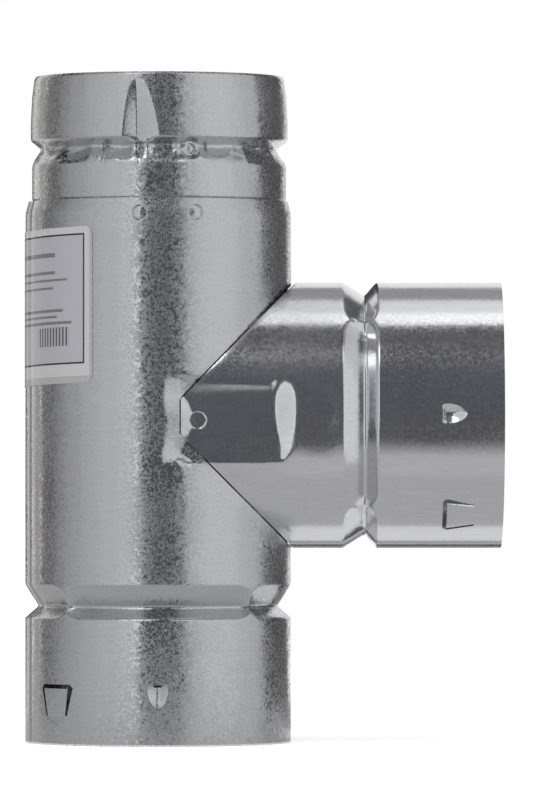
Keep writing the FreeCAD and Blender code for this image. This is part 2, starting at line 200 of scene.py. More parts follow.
# Print: near and far side from the right edge, top and foot from the top edge
PRINT_STOCK = (1.2, 101.4, 0, 50.6)
PRINT_FRAME = (3.1, 99.4, 2.3, 46.5)
PRINT_LINE = 0.6
PRINT_BARS = (
    (16.5, 60, 8.4, 9.9), (16.5, 74, 14.6, 15.7), (10.5, 74, 17.3, 18.1), (17.5, 70, 20.0, 20.8),
    (12.5, 80, 27.6, 28.6), (15.5, 80, 29.8, 30.6), (8.5, 80, 31.8, 32.8),
)
PRINT_STROKES = (9.6, 27, 33.8, 40.2)
STROKES_PER_MM = 0.62
EDGE_TONE = (0.47, 0.47, 0.475, 1)
STOCK_TONE = (0.62, 0.62, 0.635, 1)
FIELD_TONE = (0.50, 0.495, 0.54, 1)
INK_TONE = (0.02, 0.02, 0.025, 1)


# Curves that the shapes are made from

def between(stations, at):
    """Straight runs through (place, value) pairs."""
    if at <= stations[0][0]:
        return stations[0][1]
    for (low, a), (high, b) in zip(stations, stations[1:]):
        if at <= high:
            return a + (b - a) * (at - low) / (high - low)
    return stations[-1][1]


def softened(stations, at, reach):
    """The same with its corners rounded over a reach to each side."""
    count = 5
    steps = [at + reach * (2 * i / (count - 1) - 1) for i in range(count)]
    return sum(between(stations, step) for step in steps) / count


def smooth(low, high, at):
    share = min(1, max(0, (at - low) / (high - low)))
    return share * share * (3 - 2 * share)


def least(a, b, blend):
    """The smaller of two, with a rounded change between them."""
    share = max(0, blend - abs(a - b)) / blend
    return min(a, b) - share * share * blend / 4


def wrapped(turn):
    return (turn + 180) % 360 - 180


def levels(*spans):
    """Heights from (low, high, step) spans that follow each other."""
    found = []
    for low, high, step in spans:
        count = max(1, round((high - low) / step))
        found += [low + (high - low) * i / count for i in range(count)]
    return found + [spans[-1][1]]


# Mesh helpers

def rolled(heights, radius):
    """A plain tube: one edge line spun round Z."""
    bm = bmesh.new()
    line = [bm.verts.new((0, -radius, height)) for height in heights]
    edges = [bm.edges.new(pair) for pair in zip(line, line[1:])]
    bmesh.ops.spin(bm, geom=line + edges, cent=(0, 0, 0), axis=(0, 0, 1), dvec=(0, 0, 0),
                   angle=math.tau, steps=STEPS, use_merge=True)
    faced_out(bm)
    return bm


def faced_out(bm):
    """Turns the faces so that they look away from Z."""
    bm.faces.ensure_lookup_table()
    face = bm.faces[0]
    face.normal_update()
    if face.normal.dot(face.calc_center_median() * Vector((1, 1, 0))) < 0:
        bmesh.ops.reverse_faces(bm, faces=bm.faces[:])


def turn_of(place):
    return math.degrees(math.atan2(place.x, -place.y))


def across(turn, middle):
    """How far a place is round the shell from a turn, in mm."""
    return math.radians(wrapped(turn - middle)) * SHELL_RAD


def refined(bm, wanted):
    """Splits the edges of the faces that are wanted."""
    edges = {edge for face in bm.faces if wanted(face.calc_center_median()) for edge in face.edges}
    bmesh.ops.subdivide_edges(bm, edges=list(edges), cuts=1, use_grid_fill=True)


def sliced(bm, point, normal, wanted):
    """Cuts the faces that are wanted along a plane, and keeps both sides."""
    faces = [face for face in bm.faces if wanted(face.calc_center_median())]
    geom = set(faces)
    for face in faces:
        geom.update(face.edges)
        geom.update(face.verts)
    bmesh.ops.bisect_plane(bm, geom=list(geom), dist=1e-4, plane_co=point, plane_no=normal)


def dropped(bm, unwanted):
    faces = [face for face in bm.faces if unwanted(face.calc_center_median())]
    bmesh.ops.delete(bm, geom=faces, context="FACES")


def sides_at(turn):
    """The ways outwards and round at a turn."""
    angle = math.radians(turn)
    return Vector((math.sin(angle), -math.cos(angle), 0)), Vector((math.cos(angle), math.sin(angle), 0))


def finished(bm, name, material, wall=0.0, place=Matrix()):
    """The mesh as an object at the origin, in metres, with its wall added inwards."""
    if wall:
        bm.normal_update()
        bmesh.ops.solidify(bm, geom=bm.faces[:], thickness=wall)
    bmesh.ops.transform(bm, matrix=Matrix.Scale(MM, 4) @ place, verts=bm.verts[:])
    for face in bm.faces:
        face.smooth = True
    mesh = bpy.data.meshes.new(name)
    bm.to_mesh(mesh)
    bm.free()
    mesh.materials.append(material)
    mesh.set_sharp_from_angle(angle=SHARP)
    piece = bpy.data.objects.new(name, mesh)
    bpy.context.scene.collection.objects.link(piece)
    return piece


def worn(piece, node=None):
    """Puts a piece on the part, and hides the node that it stands for."""
    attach(piece, "root")
    if node:
        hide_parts(node)


BRANCH_PLACE = Matrix(((0, 0, -1, BRANCH_REACH), (0, 1, 0, 0), (1, 0, 0, BRANCH_AXIS), (0, 0, 0, 1)))


# Forms pressed into the sheets: each gives how far the sheet is pushed in

def clinch_dent(away, radius=CLINCH_RAD, deep=CLINCH_DEEP):
    """A round button: a narrow wall, a sunk ring and a slightly raised middle."""
    wall = 1 - smooth(radius * 0.86, radius * 0.97, away)
    dome = 1 - smooth(0, radius * 0.85, away)
    return deep * (wall - 0.3 * dome)


def groove_depth(turn, along):
    """The stop groove, shallower, pinched and creased where its four segments meet."""
    low, high = GROOVE_NEAR
    if not low < along < high:
        return 0
    nearest = min(abs(wrapped(turn - joint)) for joint in GROOVE_JOINTS)
    pinch = max(0, 1 - nearest / JOINT_REACH)
    ridge = math.exp(-(nearest / JOINT_RIDGE) ** 2)
    swell = math.exp(-((nearest - JOINT_SWELL) / JOINT_SWELL_REACH) ** 2)
    depth = GROOVE_DEEP * (1 - 0.28 * pinch - 0.3 * ridge + 0.05 * swell)
    narrow = JOINT_NARROW * pinch ** 1.6
    stations = (
        (GROOVE_MID - GROOVE_FALL + narrow, 0),
        (GROOVE_MID - GROOVE_FLAT / 2, depth),
        (GROOVE_MID + GROOVE_FLAT / 2, depth * 0.97),
        (GROOVE_MID + GROOVE_KINK - narrow * 0.5, depth * GROOVE_KINK_SHARE),
        (GROOVE_MID + GROOVE_CLIMB - narrow, 0),
    )
    return softened(stations, along, GROOVE_SOFT)


def barb_dent(turn, along):
    """A shield-shaped dent with a creased valley, deepest at its slit."""
    share = (along - BARB_TIP) / BARB_LONG
    off = min(abs(across(turn, barb)) for barb in BARB_TURNS)
    if off > BARB_HALF or not 0 < share < 1.1:
        return 0
    rounding = 1 - max(0, 1 - share) ** 2.2 - max(0, (share - 0.75) / 0.5) ** 2
    half = BARB_HALF * math.sqrt(max(0.01, rounding))
    valley = max(0, 1 - off / half)
    fade = smooth(-0.1, 0.7, share) * (1 - smooth(0.98, 1.03, share))
    return BARB_DEEP * least(valley * 1.25, 1, 0.3) * fade if valley else 0


def tab_bend(turn, along):
    """The lock tabs stand out a little from their root."""
    share = (along - TAB_ROOT) / TAB_LONG
    if not 0 < share < 1 - TAB_END_SLIT / TAB_LONG / 2:
        return 0
    half = (TAB_ROOT_WIDE + (TAB_FREE_WIDE - TAB_ROOT_WIDE) * share) / 2 - TAB_ROOT_SLIT / 2
    if min(abs(across(turn, tab)) for tab in TAB_TURNS) > half:
        return 0
    return (along - TAB_ROOT) * math.tan(TAB_BEND)


def seam_rise(turn):
    return SEAM_RISE * (1 - smooth(SEAM_HALF - SEAM_STEP, SEAM_HALF, abs(across(turn, SEAM_TURN))))


def waviness(turn, along, seed, streaks=0.0):
    """Rolled sheet is never quite true, which bends its reflections a little."""
    out, _ = sides_at(turn)
    broad = noise.noise(Vector((out.x * 1.6, out.y * 1.6, along / 38 + seed)))
    fine = noise.noise(Vector((out.x * 5, out.y * 5, along / 11 + seed)))
    streak = noise.noise(Vector((out.x * 11, out.y * 11, along / 60 + seed))) if streaks else 0
    return 0.05 * broad + 0.012 * fine + streaks * streak - 0.06


def flat_depth(out, up, on_run):
    """How deep the pressed flats are below the shell's front, at (x, height off the branch's axis)."""
    far = min(1, max(0, (out - 9) / 29))
    floor = FLAT_DEEP + FLAT_VALLEY * (1 - far) * smooth(-3, 6.5, up) + FLAT_SAG * smooth(5, 17, -up)
    near_end = max(MITRE_TIP, FLAT_RAMP_END - FLAT_RAMP_BOW * (up + 2) ** 2)
    if on_run:
        near_end = max(near_end, up + FLAT_RUN_EDGE)
    near_ramp = (out - FLAT_RUN_START) * floor / (near_end - FLAT_RUN_START)
    shell = SHELL_RAD - math.sqrt(SHELL_RAD ** 2 - up ** 2)
    start = FLAT_END_START + 0.12 * max(0, -up)
    end = FLAT_END - 2.1 * (abs(up + 1.3) / 12) ** 5
    far_ramp = floor - (floor - shell) * (out - start) / max(2, end - start)
    depth = least(least(near_ramp, far_ramp, 0.1), floor, 0.08)
    edge, fall, rise = FLAT_TOP
    top = edge - fall * far + rise * smooth(37, 40.5, out)
    gentle, steeper = FLAT_TOP_SLOPE
    slope = gentle + steeper * far
    upper_wall = top ** 2 / (2 * SHELL_RAD) + (top - up) * slope
    if on_run:
        upper_wall = (FLAT_RUN_TOP - up) * FLAT_RUN_SLOPE
    lower_wall = (up - FLAT_FOOT - FLAT_RUN_FOOT * (1 - smooth(6, 12, out))) * FLAT_FOOT_SLOPE
    return least(least(depth, upper_wall, 0.7), lower_wall, 1.2)


def pressed(place, skin=0.0, on_run=True):
    """Moves a place on either sheet, in the tee's own frame, onto the pressed flats."""
    up = place.z - BRANCH_AXIS
    start, end = FLAT_SPAN
    if abs(up) > FLAT_TALL or not start < place.x < end:
        return
    limit = SHELL_RAD - skin - flat_depth(place.x, up, on_run)
    sign = -1 if place.y < 0 else 1
    blend = 0.22 + 0.6 * smooth(9, 14, -up) * (1 - smooth(35, 39, place.x))
    place.y = sign * least(abs(place.y), limit, blend)
    away = math.hypot(place.x - FLAT_CLINCH[0], place.z - FLAT_CLINCH[1])
    if away < FLAT_CLINCH_RAD:
        seat = SHELL_RAD - skin - FLAT_DEEP - clinch_dent(away, FLAT_CLINCH_RAD, FLAT_CLINCH_DEEP)
        level = smooth(FLAT_CLINCH_RAD * 0.84, FLAT_CLINCH_RAD, away)
        place.y = sign * (seat + (abs(place.y) - seat) * level)


def boot_hollow(place):
    """The boot sinks softly between the flat's end and the groove."""
    share = smooth(*HOLLOW_RISE, place.x) * (1 - smooth(*HOLLOW_FALL, place.x))
    return BOOT_HOLLOW * share * math.exp(-((place.z - BRANCH_AXIS + HOLLOW_DROP) / HOLLOW_TALL) ** 2)


# The outer shells

def female_levels(*top_spans):
    return levels((0, 0.8, 0.4), (0.8, 9, 2.0), (9, 21.5, 0.9), (21.5, 40.4, 2.7), (40.4, 54.4, 0.42),
                  *top_spans)


def cut_tab(bm, turn):
    """Frees a lock tab on three sides, with slits that widen towards its free end."""
    out, side = sides_at(turn)
    root = out * SHELL_RAD + Vector((0, 0, TAB_ROOT))
    outer_lean = math.atan2((TAB_FREE_WIDE - TAB_ROOT_WIDE) / 2, TAB_LONG)
    widening = TAB_SIDE_SLIT - TAB_ROOT_SLIT
    inner_lean = math.atan2((TAB_FREE_WIDE - TAB_ROOT_WIDE) / 2 - widening, TAB_LONG)
    end = TAB_ROOT + TAB_LONG
    corner = TAB_FREE_WIDE / 2 - TAB_CORNER

    def near(spot):
        return spot.dot(out) > 0 and abs(spot.dot(side)) < 11 and TAB_ROOT - 2 < spot.z < 22

    for hand in (-1, 1):
        for lean, half in ((outer_lean, TAB_ROOT_WIDE / 2), (inner_lean, TAB_ROOT_WIDE / 2 - TAB_ROOT_SLIT)):
            sliced(bm, root + side * hand * half,
                   side * hand * math.cos(lean) - Vector((0, 0, math.sin(lean))), near)
        chamfer = out * SHELL_RAD + side * hand * corner + Vector((0, 0, end))
        sliced(bm, chamfer, (side * hand + Vector((0, 0, 1))).normalized(), near)
    for height in (TAB_ROOT, end - TAB_END_SLIT, end):
        sliced(bm, (0, 0, height), (0, 0, 1), near)

    def in_slit(spot):
        up = spot.z - TAB_ROOT
        if not near(spot) or not 0 < up < TAB_LONG:
            return False
        off = abs(spot.dot(side))
        half = TAB_ROOT_WIDE / 2 + up * math.tan(outer_lean)
        inner = TAB_ROOT_WIDE / 2 - TAB_ROOT_SLIT + up * math.tan(inner_lean)
        cut_off = off - corner + up - TAB_LONG > 0
        return off < half and not cut_off and (up > TAB_LONG - TAB_END_SLIT or off > inner)
    dropped(bm, in_slit)


def cut_barb(bm, turn):
    """Opens the slit at a barb's inner end."""
    out, side = sides_at(turn)
    wide, tall = BARB_SLIT
    low = BARB_TIP + BARB_LONG - tall

    def close(spot):
        return spot.dot(out) > 0 and abs(spot.dot(side)) < 4 and low - 1.5 < spot.z < low + 3

    for hand in (-1, 1):
        sliced(bm, side * hand * wide / 2, side, close)
    for height in (low, low + tall):
        sliced(bm, (0, 0, height), (0, 0, 1), close)
    dropped(bm, lambda spot: close(spot) and low < spot.z < low + tall and abs(spot.dot(side)) < wide / 2)


def cut_seam_sides(bm):
    """Edge lines along the folded seam, so that its steps are crisp."""
    for off in (-SEAM_HALF, -SEAM_HALF + SEAM_STEP, SEAM_HALF - SEAM_STEP, SEAM_HALF):
        out, side = sides_at(SEAM_TURN + math.degrees(off / SHELL_RAD))
        sliced(bm, (0, 0, 0), side, lambda spot: spot.dot(out) > 0)


def female_end(bm):
    """Tabs, barbs and seam lines that run and branch share."""
    def near_barb(spot):
        return any(abs(across(turn_of(spot), barb)) < 5 for barb in BARB_TURNS) and 10.5 < spot.z < 21.5

    def near_tab(spot):
        return any(abs(across(turn_of(spot), tab)) < 9.7 for tab in TAB_TURNS) and 9 < spot.z < 21
    refined(bm, near_barb)
    refined(bm, near_barb)
    refined(bm, near_tab)
    cut_seam_sides(bm)
    for turn in TAB_TURNS:
        cut_tab(bm, turn)
    for turn in BARB_TURNS:
        cut_barb(bm, turn)


def female_radius(turn, along, seed):
    radius = SHELL_RAD - groove_depth(turn, along) - barb_dent(turn, along) - tab_bend(turn, along)
    return radius + seam_rise(turn) + waviness(turn, along, seed)


def mitre_out(up, gap=0.0):
    """How far out the mitre stands at a height off the branch's axis."""
    above, above_slope = MITRE_ABOVE
    below, below_slope = MITRE_BELOW
    slant = MITRE_TIP + gap * math.sqrt(2)
    return max(MITRE_TIP + gap, slant + (up - above) * above_slope, slant - (up + below) * below_slope)


def off_mitre(spot):
    """How far a place is from the mitre's line, seen from the front."""
    up = spot.z - BRANCH_AXIS
    return abs(spot.x - mitre_out(up)) / (1 if -MITRE_BELOW[0] < up < MITRE_ABOVE[0] else math.sqrt(2))


def edge_share(place):
    """1 at the mitred edge, and 0 a little way off it."""
    return max(0, 1 - off_mitre(place) / EDGE_REACH) ** 2


def mitre_planes(shift=0.0):
    """A point and a normal for each slanting side of the mitre, in the tee's own frame."""
    above, above_slope = MITRE_ABOVE
    below, below_slope = MITRE_BELOW
    return (
        (Vector((MITRE_TIP + shift, 0, BRANCH_AXIS + above)), Vector((1, 0, -above_slope)).normalized()),
        (Vector((MITRE_TIP + shift, 0, BRANCH_AXIS - below)), Vector((1, 0, below_slope)).normalized()),
    )


def rounded(vert, radius, turn):
    out, _ = sides_at(turn)
    vert.co.x = radius * out.x
    vert.co.y = radius * out.y


def make_run(material):
    heights = female_levels((54.4, 92, 3.2), (92, 129, 1.05), (129, 173.5, 3.2), (173.5, RUN_TOP, 0.6))
    bm = rolled(heights, SHELL_RAD)
    female_end(bm)

    def near_clinch(spot):
        return any(math.hypot(across(turn_of(spot), turn), spot.z - height) < CLINCH_NEAR
                   for turn, height in RIM_CLINCHES)
    refined(bm, near_clinch)
    refined(bm, near_clinch)

    def right(spot):
        return spot.x > 2 and abs(spot.z - BRANCH_AXIS) < SHELL_RAD + 4
    for point, normal in mitre_planes():
        sliced(bm, point, normal, right)
    sliced(bm, (MITRE_TIP, 0, 0), (1, 0, 0), lambda spot: right(spot) and abs(spot.z - BRANCH_AXIS) < 12)
    dropped(bm, lambda spot: spot.x > mitre_out(spot.z - BRANCH_AXIS))

    crimp = ((0, 0), (RUN_TOP - CRIMP_DROP, 0), (RUN_TOP, MOUTH_IN), (RUN_TOP + 2, MOUTH_IN * 1.5))
    for vert in bm.verts:
        turn = turn_of(vert.co)
        along = vert.co.z
        radius = female_radius(turn, along, 0) - softened(crimp, along, CRIMP_SOFT)
        for clinch_turn, height in RIM_CLINCHES:
            away = math.hypot(across(turn, clinch_turn), along - height)
            if away < CLINCH_RAD * 1.4:
                radius -= clinch_dent(away)
        if vert.co.x > 0:
            radius += EDGE_LIFT * edge_share(vert.co)
        rounded(vert, radius, turn)
        pressed(vert.co)
    return finished(bm, "run_shell", material, STEEL)


def make_branch(material):
    end = BRANCH_REACH - MITRE_TIP - MITRE_GAP
    bm = rolled(female_levels((54.4, 69, 1.3), (69, end, 0.8)), SHELL_RAD)
    female_end(bm)

    def near_clinch(spot):
        place = BRANCH_PLACE @ spot
        away = math.hypot(place.x - FLAT_CLINCH[0], place.z - FLAT_CLINCH[1])
        return away < CLINCH_NEAR and place.y < 50
    refined(bm, near_clinch)
    refined(bm, near_clinch)
    back = BRANCH_PLACE.inverted()
    for point, normal in mitre_planes(MITRE_GAP * math.sqrt(2)):
        sliced(bm, back @ point, back.to_3x3() @ normal, lambda spot: spot.z > 60)
    dropped(bm, lambda spot: BRANCH_REACH - spot.z < mitre_out(spot.x, MITRE_GAP))

    for vert in bm.verts:
        turn = turn_of(vert.co)
        along = vert.co.z
        tuck = EDGE_TUCK * edge_share(BRANCH_PLACE @ vert.co)
        rounded(vert, female_radius(turn, along, 7) - tuck, turn)
        place = BRANCH_PLACE @ vert.co
        pressed(place, on_run=False)
        vert.co.y = place.y - math.copysign(boot_hollow(place), place.y)
    return finished(bm, "branch_shell", material, STEEL, BRANCH_PLACE)


def make_lap(material):
    """The strip round the branch's mitred edge, under the run's sheet."""
    depth = STEEL + SLIP + LAP_SUNK
    bm = rolled(levels((62, 160, 1.0)), SHELL_RAD - depth)
    for shift in (MITRE_GAP * math.sqrt(2), -LAP * math.sqrt(2)):
        for point, normal in mitre_planes(shift):
            sliced(bm, point, normal, lambda spot: spot.x > 0)
    for shift in (MITRE_GAP, -LAP):
        sliced(bm, (MITRE_TIP + shift, 0, 0), (1, 0, 0), lambda spot: spot.x > 0)

    def outside(spot):
        up = spot.z - BRANCH_AXIS
        return not mitre_out(up, -LAP) < spot.x < mitre_out(up, MITRE_GAP)
    dropped(bm, outside)
    for vert in bm.verts:
        pressed(vert.co, depth)
    return finished(bm, "branch_lap", material, STEEL)


def crumple(turn, along):
    """The neck was rolled in step by step, which left it uneven."""
    share = smooth(193.5, 196.5, along) * (1 - smooth(200.4, 202.4, along))
    if not share:
        return 0
    out, _ = sides_at(turn)
    coarse = noise.noise(Vector((out.x * 5, out.y * 5, along / 4 + 9)))
    fine = noise.noise(Vector((out.x * 13, out.y * 13, along / 2.4)))
    return share * (0.6 * coarse + 0.14 * fine)


def dart_dent(out, along):
    """A long triangular dent up the collar, with a sharp crease."""
    share = (along - DART["low"]) / (DART["high"] - DART["low"])
    if share >= 1:
        return 0
    close = (1 - max(0, share)) ** 0.42
    crease = DART["crease"]
    left = crease + (DART["left"] - crease) * close
    right = crease + (DART["right"] - crease) * close
    if not left < out < right:
        return 0
    slope = (out - left) / (crease - left) if out < crease else (right - out) / (right - crease)
    deep = DART["deep"] * (1 - max(0, share) ** 1.7) * smooth(-0.12, 0.02, share)
    return deep * slope


def pressed_by_rim(radius, turn, along):
    """The clinches in the run's rim press the collar in behind them."""
    if along >= RUN_TOP:
        return radius
    for clinch_turn, height in RIM_CLINCHES:
        away = math.hypot(across(turn, clinch_turn), along - height)
        if away < CLINCH_RAD * 1.3:
            radius = min(radius, SHELL_RAD - STEEL - SLIP - 0.5 - clinch_dent(away))
    return radius


def dented_neck(radius, turn, along):
    for dent_turn, height, half_wide, half_tall, deep in NECK_DENTS:
        off = across(turn, dent_turn) / half_wide
        up = (along - height) / half_tall
        if abs(off) < 2.5 and abs(up) < 2.5:
            radius -= deep * math.exp(-off * off - up * up)
    away = math.hypot(across(turn, NECK_CLINCH[0]), along - NECK_CLINCH[1])
    if away < NECK_PAD * 1.5:
        pad = 1 - smooth(NECK_PAD * 0.75, NECK_PAD * 1.25, away)
        radius += (NECK_PAD_RAD - radius) * pad - clinch_dent(away, NECK_CLINCH_RAD, NECK_CLINCH_DEEP)
    return radius


def make_collar(material):
    bm = rolled(levels((168, 175, 1.4), (175, 183.4, 0.3), (183.4, 190, 1.6), (190, 206, 0.42),
                       (206, 219, 1.0), (219, 222.8, 0.5), (222.8, 223.8, 0.2)), SHELL_RAD)
    refined(bm, lambda spot: -17 < turn_of(spot) < 3 and spot.z > 202)
    refined(bm, lambda spot: -30 < turn_of(spot) < 24 and 193 < spot.z < 202)
    for vert in bm.verts:
        turn = turn_of(vert.co)
        along = vert.co.z
        radius = softened(COLLAR, along, COLLAR_SOFT) + waviness(turn, along, 3, 0.035) + crumple(turn, along)
        radius = dented_neck(pressed_by_rim(radius, turn, along), turn, along)
        angle = math.radians(turn)
        radius -= dart_dent(radius * math.sin(angle), along) if abs(turn) < 40 else 0
        rounded(vert, radius, turn)
    return finished(bm, "collar_shell", material, STEEL)


def make_label(material):
    """A sheet of paper with round corners, wrapped round the run over its seam."""
    tall = LABEL_HIGH - LABEL_LOW
    bm = bmesh.new()
    bmesh.ops.create_grid(bm, x_segments=160, y_segments=60, size=0.5)
    bmesh.ops.scale(bm, vec=(LABEL_WIDE, tall, 1), verts=bm.verts[:])
    uv = bm.loops.layers.uv.new("label")
    for face in bm.faces:
        for loop in face.loops:
            loop[uv].uv = (loop.vert.co.x / LABEL_WIDE + 0.5, loop.vert.co.y / tall + 0.5)
    corner = Vector((LABEL_WIDE / 2 - LABEL_CORNER, tall / 2 - LABEL_CORNER, 0))
    for vert in bm.verts:
        flat = vert.co.copy()
        past = Vector((abs(flat.x) - corner.x, abs(flat.y) - corner.y, 0))
        if past.x > 0 and past.y > 0 and past.length > LABEL_CORNER:
            past *= LABEL_CORNER / past.length
            flat.x = math.copysign(corner.x + past.x, flat.x)
            flat.y = math.copysign(corner.y + past.y, flat.y)
        turn = LABEL_TURN + math.degrees(flat.x / SHELL_RAD)
        seam = SEAM_RISE * (1 - smooth(SEAM_HALF - 0.4, SEAM_HALF + 1.2, abs(across(turn, SEAM_TURN))))
        out, _ = sides_at(turn)
        along = (LABEL_LOW + LABEL_HIGH) / 2 + flat.y * 0.98 + flat.x * LABEL_TILT
        vert.co = out * (SHELL_RAD + seam + PAPER)
        vert.co.z = along
    faced_out(bm)
    return finished(bm, "label_paper", material, PAPER * 0.8)


# Materials

def nodes_of(name):
    material = bpy.data.materials.new(name)
    material.use_nodes = True
    tree = material.node_tree
    return material, tree, tree.nodes["Principled BSDF"]


def added(tree, kind, inputs=None, **settings):
    """A node with its settings and its inputs, each a value or a link."""
    node = tree.nodes.new(kind)
    for key, value in settings.items():
        setattr(node, key, value)
    for key, value in (inputs or {}).items():
        if isinstance(value, bpy.types.NodeSocket):
            tree.links.new(value, node.inputs[key])
        else:
            node.inputs[key].default_value = value
    return node


def ramped(tree, value, low, high, start=0.0, end=1.0):
    node = added(tree, "ShaderNodeMapRange", {
        "Value": value, "From Min": low, "From Max": high, "To Min": start, "To Max": end})
    return node.outputs["Result"]


def combined(tree, how, a, b):
    return added(tree, "ShaderNodeMath", {0: a, 1: b}, operation=how).outputs["Value"]


def galvanised(name, tone, fleck, rough, rougher, tilt, drawn):
    """Zinc with flecks that scatter more or less and face slightly different ways.

    The marks of the rolls run along the axes in which "drawn" is small.
    """
    material, tree, shader = nodes_of(name)
    shader.inputs["Metallic"].default_value = 1
    where = tree.nodes.new("ShaderNodeTexCoord").outputs["Object"]
    worms = added(tree, "ShaderNodeTexNoise", {"Vector": where, "Scale": 900, "Detail": 3, "Roughness": 0.6})
    patch = added(tree, "ShaderNodeTexNoise", {"Vector": where, "Scale": 55, "Detail": 3})
    crystals = added(tree, "ShaderNodeTexVoronoi", {"Vector": where, "Scale": 1100})
    split = added(tree, "ShaderNodeSeparateColor", {"Color": crystals.outputs["Color"]})
    drift = ramped(tree, patch.outputs["Fac"], 0.3, 0.7, -0.06, 0.1)
    mark = ramped(tree, combined(tree, "ADD", worms.outputs["Fac"], drift), 0.44, 0.49)
    grain = added(tree, "ShaderNodeTexNoise", {"Vector": where, "Scale": 1900, "Detail": 1})
    stretched = added(tree, "ShaderNodeVectorMath", {0: where, 1: drawn}, operation="MULTIPLY")
    streaks = added(tree, "ShaderNodeTexNoise", {
        "Vector": stretched.outputs["Vector"], "Scale": 100, "Detail": 4, "Roughness": 0.7})
    mixed = combined(tree, "MULTIPLY", ramped(tree, mark, 0, 1, 0.12, 1),
                     ramped(tree, grain.outputs["Fac"], 0.38, 0.6, 0.4, 1))
    mixed = combined(tree, "MULTIPLY", mixed, ramped(tree, split.outputs["Red"], 0, 1, 0.75, 1))
    roughness = ramped(tree, mixed, 0, 1, rough, rougher)
    tree.links.new(roughness, shader.inputs["Roughness"])
    shade = combined(tree, "MULTIPLY", ramped(tree, mixed, 0, 1, 1 - fleck, 1),
                     ramped(tree, streaks.outputs["Fac"], 0.3, 0.7, 0.96, 1.03))
    grey = added(tree, "ShaderNodeVectorMath", {0: tone, "Scale": shade}, operation="SCALE")
    tree.links.new(grey.outputs["Vector"], shader.inputs["Base Color"])
    lean = added(tree, "ShaderNodeVectorMath", {0: crystals.outputs["Color"], 1: (0.5, 0.5, 0.5)},
                 operation="SUBTRACT")
    lean = added(tree, "ShaderNodeVectorMath", {0: lean.outputs["Vector"], "Scale": tilt}, operation="SCALE")
    geometry = tree.nodes.new("ShaderNodeNewGeometry")
    total = added(tree, "ShaderNodeVectorMath", {0: geometry.outputs["Normal"], 1: lean.outputs["Vector"]},
                  operation="ADD")
    unit = added(tree, "ShaderNodeVectorMath", {0: total.outputs["Vector"]}, operation="NORMALIZE")
    tree.links.new(unit.outputs["Vector"], shader.inputs["Normal"])
    return material


def bare_aluminium():
    material, tree, shader = nodes_of("mill_aluminium")
    shader.inputs["Metallic"].default_value = 1
    shader.inputs["Base Color"].default_value = (0.78, 0.785, 0.79, 1)
    where = tree.nodes.new("ShaderNodeTexCoord").outputs["Object"]
    grain = added(tree, "ShaderNodeTexNoise", {"Vector": where, "Scale": 420, "Detail": 4})
    tree.links.new(ramped(tree, grain.outputs["Fac"], 0.3, 0.7, 0.24, 0.36), shader.inputs["Roughness"])
    return material


def inside_band(tree, value, low, high):
    above = combined(tree, "GREATER_THAN", value, low)
    below = combined(tree, "LESS_THAN", value, high)
    return combined(tree, "MULTIPLY", above, below)


def mixed_tones(tree, share, first, second):
    """The first colour where the share is 0 and the second where it is 1."""
    node = added(tree, "ShaderNodeMix", {"Factor": share, 6: first, 7: second}, data_type="RGBA")
    return node.outputs[2]


def printed_paper():
    """Plain stock with a ruled frame and grey bars where a maker would print."""
    material, tree, shader = nodes_of("label_paper")
    shader.inputs["Roughness"].default_value = 0.32
    shader.inputs["Coat Weight"].default_value = 0.3
    spot = added(tree, "ShaderNodeTexCoord").outputs["UV"]
    split = added(tree, "ShaderNodeSeparateXYZ", {"Vector": spot})
    right = ramped(tree, split.outputs["X"], 0, 1, LABEL_WIDE, 0)
    down = ramped(tree, split.outputs["Y"], 0, 1, LABEL_HIGH - LABEL_LOW, 0)

    def block(near, far, top, foot):
        wide = inside_band(tree, right, near, far)
        tall = inside_band(tree, down, top, foot)
        return combined(tree, "MULTIPLY", wide, tall)

    line = PRINT_LINE
    near, far, top, foot = PRINT_FRAME
    marks = combined(tree, "SUBTRACT", block(near, far, top, foot),
                     block(near + line, far - line, top + line, foot - line))
    for bar in PRINT_BARS:
        marks = combined(tree, "MAXIMUM", marks, combined(tree, "MULTIPLY", block(*bar), 0.62))
    pitch = combined(tree, "MULTIPLY", right, STROKES_PER_MM)
    stripe = added(tree, "ShaderNodeMath", {0: pitch}, operation="FRACT").outputs["Value"]
    dark_half = combined(tree, "GREATER_THAN", stripe, 0.5)
    strokes = combined(tree, "MULTIPLY", dark_half, block(*PRINT_STROKES))
    marks = combined(tree, "MAXIMUM", marks, combined(tree, "MULTIPLY", strokes, 0.85))
    sheet = mixed_tones(tree, block(*PRINT_STOCK), EDGE_TONE, STOCK_TONE)
    paper = mixed_tones(tree, block(*PRINT_FRAME), sheet, FIELD_TONE)
    ink = mixed_tones(tree, marks, paper, INK_TONE)
    tree.links.new(ink, shader.inputs["Base Color"])
    return material


# The studio

def glowing(name, strength, colour=WHITE):
    material = bpy.data.materials.new(name)
    material.use_nodes = True
    tree = material.node_tree
    tree.nodes.clear()
    glow = added(tree, "ShaderNodeEmission", {"Strength": strength, "Color": [*colour, 1]})
    out = tree.nodes.new("ShaderNodeOutputMaterial")
    tree.links.new(glow.outputs["Emission"], out.inputs["Surface"])
    return material


def only_reflected(piece):
    """A studio card that shows in the metal alone."""
    piece.visible_camera = False
    piece.visible_diffuse = False
    piece.visible_shadow = False
    piece.visible_transmission = False


def standing_card(name, low_turn, high_turn, profile, strength, colour=WHITE):
    """A card that stands round the tee between two turns, from its (distance, height) profile."""
    bm = bmesh.new()
    out, _ = sides_at(low_turn)
    line = [bm.verts.new(out * away + Vector((0, 0, height))) for away, height in profile]
    edges = [bm.edges.new(pair) for pair in zip(line, line[1:])]
    bmesh.ops.spin(bm, geom=line + edges, cent=(0, 0, 0), axis=(0, 0, 1), dvec=(0, 0, 0),
                   angle=math.radians(high_turn - low_turn), steps=24)
    only_reflected(finished(bm, name, glowing(name, strength, colour)))


